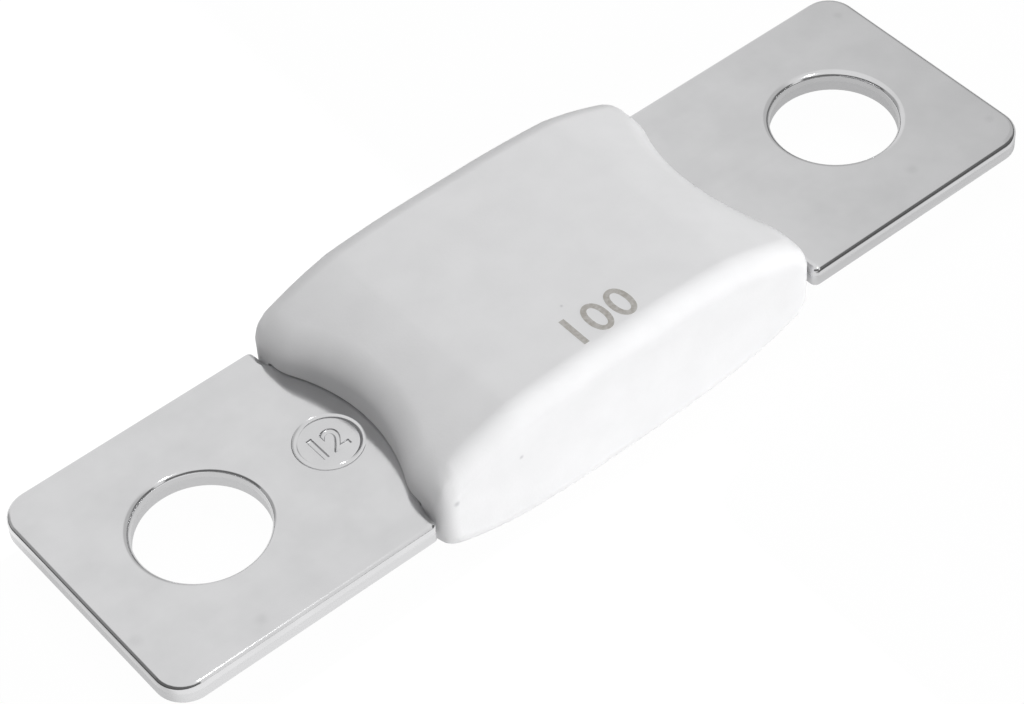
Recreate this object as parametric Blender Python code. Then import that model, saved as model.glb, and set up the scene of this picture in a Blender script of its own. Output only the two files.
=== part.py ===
"""Bolt-down strip fuse.

One stamped fuse strip runs end to end. Its two bolted blades stick out of a moulded housing,
and its thinned, S-shaped link sits inside. The housing is two hollow shells that close on the
strip: posts in the lower shell pass through holes in the strip into sockets in the upper one.

Frame: X along the strip, Y across it, Z up. The origin is on the surface that the lower shell
rests on, under the middle of the strip. The part is built in metres from sizes in millimetres.
"""

import math

import bmesh
import bpy
from mathutils import Vector

MM = 0.001

# Strip: blades and bolt holes
HOLE_SPACING = 51.0 * MM
BOLT_HOLE = 8.4 * MM
HOLE_TO_BLADE_END = 8.5 * MM
BLADE_WIDTH = 18.5 * MM
STRIP_THICKNESS = 1.5 * MM
BLADE_CORNER = 2.0 * MM
EDGE_ROLL = 0.15 * MM

# Strip: neck inside the housing, and the shoulders that hold the housing endwise
SHOULDER_PLAY = 0.35 * MM
SHOULDER_CORNER = 0.3 * MM
NECK_FILLET = 0.8 * MM
LOCATING_HOLE = 3.6 * MM
LOCATING_HOLE_TO_HOUSING_END = 5.5 * MM

# Strip: the thinned fusible link, bent into an S by two opposed slots that leave equal legs
LOCATING_HOLE_TO_LINK = 1.9 * MM
NECK_TO_LINK_SIDE = 2.7 * MM
THINNING_SETBACK = 0.7 * MM
LINK_THICKNESS = 0.6 * MM
LINK_CORNER = 0.5 * MM
SLOT_WIDTH = 1.5 * MM
SLOT_BRIDGE = 1.9 * MM
SLOT_END_ROUNDING = 0.98
SLOT_MOUTH_CORNER = 0.3 * MM
SPOT_DIAMETER = 1.7 * MM
SPOT_HEIGHT = 0.5 * MM
SPOT_EDGE = 0.15 * MM

# Housing: plan outline
HOUSING_LENGTH = 29.7 * MM
HOUSING_OVERHANG = 0.25 * MM
HOUSING_OFFSET = -0.1 * MM
HOUSING_CORNER = 1.2 * MM
WASHER_SCOOP_DEPTH = 1.7 * MM
SCOOP_BLEND = 3.0 * MM

# Housing: side profile, with heights measured from the middle of the strip's thickness
UPPER_CROWN = 5.75 * MM
UPPER_END = 3.15 * MM
LOWER_CROWN = 4.6 * MM
LOWER_END = 2.45 * MM
CROWN_FLAT = 4.0 * MM
CROWN_RADIUS = 70.0 * MM
RAMP_LENGTH = 6.3 * MM
RAMP_RADIUS = 22.0 * MM
EDGE_FILLET = 1.6 * MM

# Housing: walls, ribs and joint
SIDE_WALL = 1.7 * MM
ROOF_WALL = 1.4 * MM
END_POST_STEP = 0.1 * MM
CAVITY_FILLET = 0.6 * MM
LEAST_CORNER = 0.5 * MM
LEAST_LAND = 0.1 * MM
TONGUE_TO_HOUSING_END = 3.7 * MM
TONGUE_THICKNESS = 0.7 * MM
TONGUE_HEIGHT = 0.7 * MM
POST_REACH = 2.4 * MM
BOSS_WALL = 1.0 * MM
RIB_THICKNESS = 1.1 * MM
RIB_SETBACK = 0.4 * MM

# Clearance between pieces that meet, and a distance too small to make
FIT_GAP = 0.3 * MM
HAIR = 0.0001 * MM

# Facets, and the edge angles in degrees from which an edge is sharp
CORNER_STEPS = 5
BLEND_STEPS = 4
SCOOP_STEPS = 6
FILLET_STEPS = 5
CROWN_STEPS = 3
RAMP_STEPS = 5
HOLE_SIDES = 48
POST_SIDES = 24
ROLL_STEPS = 2
STAMPING_SHARP_FROM = 50
MOULDING_SHARP_FROM = 35

# Sizes that follow from the others
HALF_THICKNESS = STRIP_THICKNESS / 2
HALF_GAP = FIT_GAP / 2
STRIP_LENGTH = HOLE_SPACING + 2 * HOLE_TO_BLADE_END
HOUSING_WIDTH = BLADE_WIDTH + 2 * HOUSING_OVERHANG
NECK_LENGTH = HOUSING_LENGTH + 2 * SHOULDER_PLAY
NECK_WIDTH = HOUSING_WIDTH - 2 * (SIDE_WALL + END_POST_STEP + FIT_GAP)
LOCATING_HOLE_SPACING = HOUSING_LENGTH - 2 * LOCATING_HOLE_TO_HOUSING_END
LINK_LENGTH = LOCATING_HOLE_SPACING - LOCATING_HOLE - 2 * LOCATING_HOLE_TO_LINK
LINK_WIDTH = NECK_WIDTH - 2 * NECK_TO_LINK_SIDE
LINK_LEG = (LINK_LENGTH - 2 * SLOT_WIDTH) / 3
WASHER_SCOOP_RADIUS = (HOLE_SPACING - HOUSING_LENGTH) / 2 + WASHER_SCOOP_DEPTH
CROWN_END = HOUSING_LENGTH / 2 - RAMP_LENGTH


def clear_scene():
    for old in list(bpy.data.objects):
        bpy.data.objects.remove(old, do_unlink=True)


def make_material(name, colour, metallic, roughness):
    material = bpy.data.materials.new(name)
    material.use_nodes = True
    shader = material.node_tree.nodes["Principled BSDF"]
    shader.inputs["Base Color"].default_value = (*colour, 1.0)
    shader.inputs["Metallic"].default_value = metallic
    shader.inputs["Roughness"].default_value = roughness
    return material


def make_object(name, mesh_data, parent, material=None):
    mesh_data.normal_update()
    mesh = bpy.data.meshes.new(name)
    mesh_data.to_mesh(mesh)
    mesh_data.free()
    piece = bpy.data.objects.new(name, mesh)
    bpy.context.scene.collection.objects.link(piece)
    piece.parent = parent
    if material:
        mesh.materials.append(material)
    return piece


def shade(piece, sharp_from):
    piece.data.shade_smooth()
    piece.data.set_sharp_from_angle(angle=math.radians(sharp_from))


def combine(target, tool, operation):
    """Cut the tool out of the target, or join it on, and hide the tool."""
    modifier = target.modifiers.new(f"{operation.title()} {tool.name}", "BOOLEAN")
    modifier.operation = operation
    modifier.object = tool
    modifier.solver = "EXACT"
    tool.hide_render = True
    tool.display_type = "WIRE"


def arc_points(centre, radius, start, end, steps):
    """Points on an arc, both ends included. Angles are in radians."""
    turns = [start + (end - start) * i / steps for i in range(steps + 1)]
    return [(centre[0] + radius * math.cos(t), centre[1] + radius * math.sin(t)) for t in turns]


def rounded_corner(before, corner, after, radius, steps):
    """The arc that replaces one corner of an outline, on whichever side the outline turns."""
    at = Vector(corner)
    inward = (Vector(before) - at).normalized()
    outward = (Vector(after) - at).normalized()
    half = inward.angle(outward) / 2
    start = at + inward * radius / math.tan(half)
    centre = at + (inward + outward).normalized() * radius / math.sin(half)
    first = math.atan2(start.y - centre.y, start.x - centre.x)
    turn = math.pi - 2 * half
    side = -1 if inward.cross(outward) > 0 else 1
    return arc_points(centre, radius, first, first + side * turn, steps)


def rounded_outline(corners, steps):
    """An outline from (x, y, radius) corners."""
    points = []
    for i, (x, y, radius) in enumerate(corners):
        before = corners[i - 1][:2]
        after = corners[(i + 1) % len(corners)][:2]
        points += rounded_corner(before, (x, y), after, radius, steps)
    return points


def strip_outline():
    """The stamped strip's plan. Its lower side is its upper side turned half a turn."""
    end, shoulder, link = STRIP_LENGTH / 2, NECK_LENGTH / 2, LINK_LENGTH / 2
    blade, neck, bridge = BLADE_WIDTH / 2, NECK_WIDTH / 2, LINK_WIDTH / 2
    near, far = -LINK_LEG / 2 - SLOT_WIDTH, -LINK_LEG / 2
    floor = SLOT_BRIDGE - bridge
    slot_end = SLOT_END_ROUNDING * SLOT_WIDTH / 2
    upper_side = [
        (-end, blade, BLADE_CORNER),
        (-shoulder, blade, SHOULDER_CORNER),
        (-shoulder, neck, NECK_FILLET),
        (-link, neck, LINK_CORNER),
        (-link, bridge, LINK_CORNER),
        (near, bridge, SLOT_MOUTH_CORNER),
        (near, floor, slot_end),
        (far, floor, slot_end),
        (far, bridge, SLOT_MOUTH_CORNER),
        (link, bridge, LINK_CORNER),
        (link, neck, LINK_CORNER),
        (shoulder, neck, NECK_FILLET),
        (shoulder, blade, SHOULDER_CORNER),
        (end, blade, BLADE_CORNER),
    ]
    lower_side = [(-x, -y, radius) for x, y, radius in upper_side]
    return rounded_outline(upper_side + lower_side, CORNER_STEPS)


def extruded(points, low, high):
    """A solid with this outline from one height to another."""
    shape = bmesh.new()
    base = shape.faces.new([shape.verts.new((x, y, low)) for x, y in points])
    top = bmesh.ops.extrude_face_region(shape, geom=[base])
    lifted = [item for item in top["geom"] if isinstance(item, bmesh.types.BMVert)]
    bmesh.ops.translate(shape, verts=lifted, vec=(0, 0, high - low))
    bmesh.ops.recalc_face_normals(shape, faces=shape.faces)
    return shape


def split_across(shape, stations):
    """Add an edge line right round the shape at each X station."""
    for x in stations:
        geometry = shape.verts[:] + shape.edges[:] + shape.faces[:]
        bmesh.ops.bisect_plane(
            shape, geom=geometry, dist=HAIR, plane_co=(x, 0, 0), plane_no=(1, 0, 0)
        )


def cylinder(radius, low, high, centre, sides):
    shape = bmesh.new()
    bmesh.ops.create_cone(
        shape, cap_ends=True, segments=sides, radius1=radius, radius2=radius, depth=high - low
    )
    bmesh.ops.translate(shape, verts=shape.verts, vec=(*centre, (low + high) / 2))
    return shape


def box(low, high):
    shape = bmesh.new()
    bmesh.ops.create_cube(shape, size=1.0)
    size = Vector(high) - Vector(low)
    bmesh.ops.scale(shape, verts=shape.verts, vec=size)
    bmesh.ops.translate(shape, verts=shape.verts, vec=(Vector(low) + Vector(high)) / 2)
    return shape


def merge_shapes(shapes):
    """Several separate closed shapes in one mesh, for one Boolean tool."""
    joined = bmesh.new()
    for shape in shapes:
        scratch = bpy.data.meshes.new("scratch")
        shape.to_mesh(scratch)
        shape.free()
        joined.from_mesh(scratch)
        bpy.data.meshes.remove(scratch)
    return joined


def punch_pair(diameter, spacing, sides):
    """Two round punches through the strip, one on each side of its middle."""
    past = STRIP_THICKNESS
    places = [(side * spacing / 2, 0) for side in (-1, 1)]
    return [cylinder(diameter / 2, -past, past, place, sides) for place in places]


def thinning_pair():
    """A block above the link and one below it, which leave only its thinned middle layer."""
    length, width = LINK_LENGTH / 2 - THINNING_SETBACK, LINK_WIDTH
    skin, past = LINK_THICKNESS / 2, STRIP_THICKNESS
    above = box((-length, -width, skin), (length, width, past))
    below = box((-length, -width, -past), (length, width, -skin))
    return [above, below]


def make_strip(parent, material):
    shape = extruded(strip_outline(), -HALF_THICKNESS, HALF_THICKNESS)
    split_across(shape, (-NECK_LENGTH / 2, NECK_LENGTH / 2))
    strip = make_object("fuse_strip", shape, parent, material)

    punches = punch_pair(BOLT_HOLE, HOLE_SPACING, HOLE_SIDES)
    punches += punch_pair(LOCATING_HOLE, LOCATING_HOLE_SPACING, POST_SIDES)
    combine(strip, make_object("strip_punches", merge_shapes(punches), parent), "DIFFERENCE")
    thinning = make_object("link_thinning", merge_shapes(thinning_pair()), parent)
    combine(strip, thinning, "DIFFERENCE")

    roll = strip.modifiers.new("Rolled edges", "BEVEL")
    roll.width = EDGE_ROLL
    roll.segments = ROLL_STEPS
    roll.limit_method = "ANGLE"
    roll.angle_limit = math.radians(STAMPING_SHARP_FROM)
    shade(strip, STAMPING_SHARP_FROM)
    return strip


def make_tin_spot(parent, material):
    """The low-melting bead that rests on the middle of the link."""
    seat = LINK_THICKNESS / 2 + FIT_GAP
    top = seat + SPOT_HEIGHT
    shape = cylinder(SPOT_DIAMETER / 2, seat, top, (0, 0), POST_SIDES)
    rim = [edge for edge in shape.edges if all(vert.co.z > top - HAIR for vert in edge.verts)]
    bmesh.ops.bevel(
        shape, geom=rim, offset=SPOT_EDGE, segments=ROLL_STEPS, profile=0.5, affect="EDGES"
    )
    spot = make_object("tin_spot", shape, parent, material)
    shade(spot, STAMPING_SHARP_FROM)
    return spot


def end_curve(inset):
    """How far out the housing's end stands at each distance from the middle line.

    The end is a flat land beside each corner, a convex blend, and a scoop round the bolt hole.
    """
    end = HOUSING_LENGTH / 2 - inset
    blend = max(SCOOP_BLEND - inset, LEAST_CORNER)
    scoop = WASHER_SCOOP_RADIUS + inset
    scoop_x = HOLE_SPACING / 2
    blend_x = end - blend
    blend_y = math.sqrt((scoop + blend) ** 2 - (scoop_x - blend_x) ** 2)
    meeting_y = blend_y * scoop / (scoop + blend)

    def reach(y):
        if y >= blend_y:
            return end
        if y >= meeting_y:
            return blend_x + math.sqrt(blend**2 - (blend_y - y) ** 2)
        return scoop_x - math.sqrt(scoop**2 - y**2)

    return reach, meeting_y, blend_y


def end_steps():
    """Where the end curve is faceted, as shares of the way from the middle line to the corner."""
    _, meeting_y, blend_y = end_curve(0)
    corner_y = HOUSING_WIDTH / 2 - HOUSING_CORNER
    blend_y = min(blend_y, corner_y - LEAST_LAND)
    meeting_y = min(meeting_y, blend_y - LEAST_LAND)
    blend = [blend_y + (meeting_y - blend_y) * i / BLEND_STEPS for i in range(BLEND_STEPS + 1)]
    scoop = [meeting_y * (1 - i / SCOOP_STEPS) for i in range(1, SCOOP_STEPS + 1)]
    return [y / corner_y for y in blend + scoop]


def housing_outline(inset):
    """The housing's plan, moved in from its outer face."""
    reach, _, _ = end_curve(inset)
    corner = max(HOUSING_CORNER - inset, LEAST_CORNER)
    corner_y = HOUSING_WIDTH / 2 - inset - corner
    centre = (reach(corner_y) - corner, corner_y)
    quarter = arc_points(centre, corner, math.pi / 2, 0, CORNER_STEPS)
    quarter += [(reach(share * corner_y), share * corner_y) for share in end_steps()]
    right_end = quarter + [(x, -y) for x, y in reversed(quarter[:-1])]
    left_end = [(-x, -y) for x, y in right_end]
    return right_end + left_end


def profile_drop(x, fall):
    """How far the shell's top has fallen from its crown, at this distance along the strip.

    By the housing's end it has fallen the whole fall: along the crown first, and past a kink
    down a ramp.
    """
    crown_fall = (CROWN_END - CROWN_FLAT / 2) ** 2 / (2 * CROWN_RADIUS)
    ramp_slope = (fall - crown_fall) / RAMP_LENGTH - RAMP_LENGTH / (2 * RAMP_RADIUS)
    curved = min(max(abs(x), CROWN_FLAT / 2), CROWN_END) - CROWN_FLAT / 2
    ramp = max(abs(x) - CROWN_END, 0)
    return curved**2 / (2 * CROWN_RADIUS) + ramp_slope * ramp + ramp**2 / (2 * RAMP_RADIUS)


def profile_stations():
    """Where the shell is faceted along its length: flat, crown, kink and ramp."""
    flat = CROWN_FLAT / 2
    crown = [flat + (CROWN_END - flat) * i / CROWN_STEPS for i in range(CROWN_STEPS + 1)]
    ramp = [CROWN_END + RAMP_LENGTH * i / RAMP_STEPS for i in range(1, RAMP_STEPS + 1)]
    return crown + ramp


def faceted_drop(x, fall):
    """The drop along straight facets between the stations, so that each facet is flat."""
    stations = profile_stations()
    along = abs(x)
    if along <= stations[0]:
        return profile_drop(0, fall)
    for low, high in zip(stations, stations[1:]):
        if along <= high:
            share = (along - low) / (high - low)
            return profile_drop(low, fall) * (1 - share) + profile_drop(high, fall) * share
    return profile_drop(stations[-1], fall)


def pillow(wall, crown, fall, fillet, base):
    """A crowned, ramped and filleted block on the housing's plan, from base up to its crown.

    It is stacked flat from rings of the outline, divided across its length, and then let down
    along the side profile. The fillet is no taller than the wall under it at the ends.
    """
    end_height = crown - faceted_drop(HOUSING_LENGTH / 2 - wall, fall) - base
    rise = min(fillet, end_height - LEAST_LAND)
    flat_base = -(fillet + crown)
    turns = [math.pi / 2 * i / FILLET_STEPS for i in range(FILLET_STEPS + 1)]
    rings = [(wall, flat_base)]
    rings += [(wall + fillet * (1 - math.cos(t)), rise * (math.sin(t) - 1)) for t in turns]

    shape = bmesh.new()
    loops = [[shape.verts.new((x, y, z)) for x, y in housing_outline(inset)] for inset, z in rings]
    count = len(loops[0])
    for lower, upper in zip(loops, loops[1:]):
        for i in range(count):
            j = (i + 1) % count
            shape.faces.new((lower[j], lower[i], upper[i], upper[j]))
    shape.faces.new(loops[0])
    shape.faces.new(list(reversed(loops[-1])))
    bmesh.ops.recalc_face_normals(shape, faces=shape.faces)

    stations = profile_stations()[:-1]
    split_across(shape, [-x for x in stations] + stations)
    for vert in shape.verts:
        if vert.co.z < -fillet - HAIR:
            vert.co.z = base
        else:
            vert.co.z += crown - faceted_drop(vert.co.x, fall)
    return shape


def turned_over(shape):
    """The shape turned half a turn about the X axis, for the lower shell."""
    for vert in shape.verts:
        vert.co.y, vert.co.z = -vert.co.y, -vert.co.z
    return shape


def as_drawn(shape):
    return shape


def side_bars(length, inner, outer, low, high):
    """A bar along each of the housing's two long walls."""
    near = box((-length / 2, -outer, low), (length / 2, -inner, high))
    far = box((-length / 2, inner, low), (length / 2, outer, high))
    return merge_shapes([near, far])


def post_columns(radius, low, high):
    """A round column on each locating hole of the strip, in the housing's own frame."""
    places = [(side * LOCATING_HOLE_SPACING / 2 - HOUSING_OFFSET, 0) for side in (-1, 1)]
    return merge_shapes([cylinder(radius, low, high, place, POST_SIDES) for place in places])


def cross_ribs(low, high):
    """A rib through each boss, from one side wall to the other."""
    reach = HOUSING_WIDTH / 2 - SIDE_WALL / 2
    ribs = []
    for side in (-1, 1):
        centre = side * LOCATING_HOLE_SPACING / 2 - HOUSING_OFFSET
        half = RIB_THICKNESS / 2
        ribs.append(box((centre - half, -reach, low), (centre + half, reach, high)))
    return merge_shapes(ribs)


def cavity_features(crown):
    """What is left standing where the cavity is hollowed out: the bosses and their ribs."""
    foot = HALF_THICKNESS + FIT_GAP
    boss = LOCATING_HOLE / 2 + BOSS_WALL
    return [
        ("bosses", "DIFFERENCE", post_columns(boss, -foot, crown)),
        ("ribs", "DIFFERENCE", cross_ribs(foot + RIB_SETBACK, crown)),
    ]


def strip_slot():
    """The room for the strip's necks, right through both ends of the housing."""
    foot = HALF_THICKNESS + FIT_GAP
    half_width = NECK_WIDTH / 2 + FIT_GAP
    return box((-HOUSING_LENGTH, -half_width, -foot), (HOUSING_LENGTH, half_width, foot))


def upper_features():
    """Sockets for the lower shell's posts, and a rebate for its tongues."""
    inner = HOUSING_WIDTH / 2 - SIDE_WALL
    foot = HALF_THICKNESS + FIT_GAP
    rebate = side_bars(
        HOUSING_LENGTH - 2 * (TONGUE_TO_HOUSING_END - FIT_GAP),
        inner - FIT_GAP,
        inner + TONGUE_THICKNESS + FIT_GAP,
        -FIT_GAP,
        TONGUE_HEIGHT + FIT_GAP,
    )
    return [
        ("sockets", "DIFFERENCE", post_columns(LOCATING_HOLE / 2, -foot, POST_REACH + FIT_GAP)),
        ("rebate", "DIFFERENCE", rebate),
    ]


def lower_features():
    """Posts through the strip, and tongues along the side walls."""
    inner = HOUSING_WIDTH / 2 - SIDE_WALL
    rooted = HALF_THICKNESS + 2 * FIT_GAP
    length = HOUSING_LENGTH - 2 * TONGUE_TO_HOUSING_END
    tongues = side_bars(length, inner, inner + TONGUE_THICKNESS, -TONGUE_HEIGHT, rooted)
    return [
        ("posts", "UNION", post_columns(LOCATING_HOLE / 2 - FIT_GAP, -POST_REACH, rooted)),
        ("tongues", "UNION", tongues),
    ]


def make_shell(name, crown, end, features, parent, material, turn):
    """One hollow shell, open at the parting plane, drawn with its crown up and then turned."""
    fall = crown - end
    outside = pillow(0, crown, fall, EDGE_FILLET, HALF_GAP)
    inside = pillow(SIDE_WALL, crown - ROOF_WALL, fall, CAVITY_FILLET, -FIT_GAP)

    cavity = make_object(f"{name}_cavity", turn(inside), parent)
    for label, operation, shape in cavity_features(crown):
        combine(cavity, make_object(f"{name}_{label}", turn(shape), parent), operation)

    shell = make_object(name, turn(outside), parent, material)
    combine(shell, cavity, "DIFFERENCE")
    for label, operation, shape in [("slot", "DIFFERENCE", strip_slot())] + features:
        combine(shell, make_object(f"{name}_{label}", turn(shape), parent), operation)
    shade(shell, MOULDING_SHARP_FROM)
    return shell


def make_fuse():
    clear_scene()
    plated = make_material("Tin-plated copper alloy", (0.66, 0.66, 0.65), 1.0, 0.3)
    moulding = make_material("White glass-filled polyamide", (0.78, 0.78, 0.77), 0.0, 0.5)
    tin = make_material("Tin", (0.52, 0.53, 0.54), 1.0, 0.45)

    fuse = bpy.data.objects.new("strip_fuse", None)
    fuse.location.z = LOWER_CROWN
    bpy.context.scene.collection.objects.link(fuse)
    housing = bpy.data.objects.new("housing", None)
    housing.location.x = HOUSING_OFFSET
    housing.parent = fuse
    bpy.context.scene.collection.objects.link(housing)

    make_strip(fuse, plated)
    make_tin_spot(fuse, tin)
    lower, upper = lower_features(), upper_features()
    make_shell("lower_housing", LOWER_CROWN, LOWER_END, lower, housing, moulding, turned_over)
    make_shell("upper_housing", UPPER_CROWN, UPPER_END, upper, housing, moulding, as_drawn)


make_fuse()
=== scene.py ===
import math

import bmesh
import bpy
from bpy.props import FloatProperty, FloatVectorProperty, PointerProperty, StringProperty
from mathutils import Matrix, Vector


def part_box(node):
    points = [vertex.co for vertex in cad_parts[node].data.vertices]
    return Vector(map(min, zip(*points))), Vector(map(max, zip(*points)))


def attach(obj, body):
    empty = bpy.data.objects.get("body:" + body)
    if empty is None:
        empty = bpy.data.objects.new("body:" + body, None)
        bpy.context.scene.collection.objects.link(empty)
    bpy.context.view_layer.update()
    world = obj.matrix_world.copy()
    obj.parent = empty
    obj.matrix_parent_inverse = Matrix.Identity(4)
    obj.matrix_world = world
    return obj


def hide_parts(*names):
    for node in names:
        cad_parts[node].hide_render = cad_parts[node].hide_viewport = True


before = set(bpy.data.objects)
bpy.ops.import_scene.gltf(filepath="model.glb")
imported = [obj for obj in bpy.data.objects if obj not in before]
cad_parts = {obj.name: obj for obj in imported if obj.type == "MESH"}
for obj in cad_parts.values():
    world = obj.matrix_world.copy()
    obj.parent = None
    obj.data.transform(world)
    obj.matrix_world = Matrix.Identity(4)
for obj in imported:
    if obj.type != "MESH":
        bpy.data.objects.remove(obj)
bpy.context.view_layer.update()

bl_info = {
    "name": "Bolt-down strip fuse",
    "version": (1, 0, 0),
    "blender": (4, 5, 0),
    "location": "View3D > Sidebar > Fuse",
    "description": "Dresses a bolt-down strip fuse with its plated strip, moulded shells and print",
    "category": "Object",
}

MM = 0.001

# Two places this near are the same: as they were made, and after an operator has moved them
HAIR = 0.0001 * MM
LOOSE = 0.01 * MM

# Facets of each curve
CORNER_STEPS = 12
ROLL_STEPS = 8
HOLE_SIDES = 160
POST_SIDES = 64
FILLET_STEPS = 10
BLEND_STEPS = 10
SCOOP_STEPS = 14
STATION_STEP = 0.35 * MM
RING_SIDES = 144
RING_SECTION = 20

# Angles from which an edge is shaded sharp, and from which the press rolls it over
SHARP_FROM = math.radians(33)
ROLL_FROM = math.radians(50)

# The strip and the housing as they are packed
STRIP_LOW, STRIP_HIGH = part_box("fuse_strip")
UPPER_LOW, UPPER_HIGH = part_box("upper_housing")
LOWER_LOW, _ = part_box("lower_housing")
SPOT_LOW, SPOT_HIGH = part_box("tin_spot")
STRIP_MIDDLE = (STRIP_LOW.z + STRIP_HIGH.z) / 2
HALF_THICKNESS = (STRIP_HIGH.z - STRIP_LOW.z) / 2
HOUSING_MIDDLE = Vector(((UPPER_LOW.x + UPPER_HIGH.x) / 2, 0, STRIP_MIDDLE))
HOUSING_LENGTH = UPPER_HIGH.x - UPPER_LOW.x
HOUSING_WIDTH = UPPER_HIGH.y - UPPER_LOW.y
UPPER_CROWN = UPPER_HIGH.z - STRIP_MIDDLE
LOWER_CROWN = STRIP_MIDDLE - LOWER_LOW.z

# Where the punch began to tear the cut edges, and where they are torn all over
TORN_TOP = STRIP_HIGH.z - 0.62 * MM
TORN_FULL = STRIP_HIGH.z - 0.72 * MM

# Stains on the blades and scuffs on the moulding, each by its centre and radius in mm
STAINS = (
    (-33.3, -4.4, 5.35, 0.7),
    (-27.0, -8.0, 5.35, 0.6),
    (25.8, -6.9, 5.35, 0.6),
    (32.8, -6.9, 5.35, 0.5),
    (32.6, 7.0, 5.35, 0.5),
)
SCUFFS = (
    (-1.47, -4.58, 10.3, 0.16),
    (-13.8, -9.5, 6.25, 0.30),
    (-8.9, -9.5, 6.6, 0.22),
)

# Share of a spot's radius that has its full strength
SPOT_CORE = 0.1


def linear(hex_colour):
    """The linear colour of an sRGB hex value."""
    shares = [int(hex_colour[i : i + 2], 16) / 255 for i in (0, 2, 4)]
    return [s / 12.92 if s <= 0.04045 else ((s + 0.055) / 1.055) ** 2.4 for s in shares]


def length(name, description, millimetres):
    """A size that a user may change."""
    return FloatProperty(
        name=name, description=description, default=millimetres * MM, unit="LENGTH", precision=5
    )


def colour(name, description, hex_colour):
    """A colour that a user may change."""
    return FloatVectorProperty(
        name=name,
        description=description,
        subtype="COLOR",
        size=3,
        min=0,
        max=1,
        default=linear(hex_colour),
    )


class StripSettings(bpy.types.PropertyGroup):
    """Sizes of the stamped strip."""

    hole_spacing: length("Hole spacing", "Between the centres of the bolt holes", 51.0)
    bolt_hole: length("Bolt hole", "Diameter of a bolt hole", 8.4)
    blade_corner: length("Blade corner", "Radius in plan of the blade's outer corners", 2.0)
    edge_roll: length("Edge roll", "How far the press has rolled each upper edge over", 0.42)
    burr_edge: length("Burr edge", "Radius of each lower edge, where the burr is off", 0.06)
    neck_length: length("Neck length", "Between the shoulders that hold the housing", 30.1)
    neck_width: length("Neck width", "Width of the strip inside the housing", 14.8)
    shoulder_corner: length("Shoulder corner", "Radius of a shoulder's outer corner", 0.45)
    neck_fillet: length("Neck fillet", "Radius where the neck meets a shoulder", 0.8)
    locating_hole: length("Locating hole", "Diameter of the holes for the posts", 3.6)
    locating_spacing: length("Locating spacing", "Between the two locating holes", 18.7)
    link_length: length("Link length", "Length of the narrow link", 11.3)
    link_width: length("Link width", "Width of the link over its slots", 9.4)
    link_thickness: length("Link thickness", "Thickness left in the link", 0.6)
    thinning_setback: length("Thinning setback", "From the link's end to its thin part", 0.7)
    link_corner: length("Link corner", "Radius of the link's corners", 0.5)
    slot_width: length("Slot width", "Width of the slots that bend the link into an S", 1.5)
    slot_bridge: length("Slot bridge", "What each slot leaves of the link's width", 1.9)


class CoinSettings(bpy.types.PropertyGroup):
    """The ring and number that are coined into one blade."""

    number: StringProperty(name="Number", description="Plain number in the ring", default="12")
    place: length("Place", "Where the ring's centre is along the strip", -16.05)
    ring_radius: length("Ring radius", "Radius of the groove's middle line", 2.07)
    groove: length("Groove", "Radius of the groove's round section", 0.30)
    lift: length("Lift", "How far the section's centre is above the blade", 0.235)
    number_height: length("Number height", "Height of the digits", 1.9)
    number_depth: length("Number depth", "How deep the digits are coined", 0.07)
    stroke: length("Stroke", "How much narrower than the font the strokes' floors are", -0.04)
    number_slope: length("Number slope", "How far the strokes' sides lean out", 0.10)


class HousingSettings(bpy.types.PropertyGroup):
    """Sizes of the two moulded shells."""

    corner: length("Corner", "Radius in plan of the housing's corners", 1.2)
    edge_fillet: length("Edge fillet", "Radius of the roof's rounded edge", 1.6)
    scoop_depth: length("Scoop depth", "How far the washer scoop cuts into the end", 1.7)
    scoop_blend: length("Scoop blend", "Radius between the scoop and the end", 3.0)
    upper_fall: length("Upper fall", "From the roof's crown down to its end", 2.6)
    lower_fall: length("Lower fall", "From the lower shell's crown to its end", 2.15)
    crown_flat: length("Crown flat", "Length of the flat middle of the roof", 4.0)
    crown_radius: length("Crown radius", "Radius of the roof along the housing", 70.0)
    ramp_length: length("Ramp length", "From the kink in the roof to the housing's end", 6.3)
    ramp_radius: length("Ramp radius", "Radius of the ramp along the housing", 22.0)
    side_wall: length("Side wall", "Thickness of the side and end walls", 1.7)
    roof_wall: length("Roof wall", "Thickness of the roof", 1.4)
    cavity_fillet: length("Cavity fillet", "Radius of the cavity's edges", 0.6)
    least_corner: length("Least corner", "Smallest radius of the cavity's corners", 0.5)
    boss_wall: length("Boss wall", "Wall of the bosses round the posts", 1.0)
    rib: length("Rib", "Thickness of the ribs", 1.1)
    rib_setback: length("Rib setback", "From the strip to the ribs", 0.4)
    post_reach: length("Post reach", "How far a post reaches into the upper shell", 2.4)
    tongue_setback: length("Tongue setback", "From the housing's end to a tongue", 3.7)
    tongue: length("Tongue", "Thickness and height of a tongue", 0.7)
    clearance: length("Clearance", "Room left round a post and a tongue", 0.1)
    seam: length("Seam", "Gap between the two shells", 0.002)
    strip_play: length("Strip play", "Gap between a shell and the strip", 0.1)
    mouth: length("Mouth", "Radius of the edges where the strip comes out", 0.15)


class PrintSettings(bpy.types.PropertyGroup):
    """The number printed on the roof."""

    number: StringProperty(name="Number", description="Plain number on the roof", default="100")
    centre_x: length("Centre X", "Where the number's middle is along the roof", -0.17)
    centre_y: length("Centre Y", "Where the number's middle is across the roof", -6.67)
    height: length("Height", "Height of the digits", 2.45)
    stroke: length("Stroke", "How much wider than the font the strokes are", 0.02)
    spacing: FloatProperty(name="Spacing", description="Share of the font's spacing", default=1.06)
    thickness: length("Thickness", "Thickness of the print", 0.008)


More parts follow.
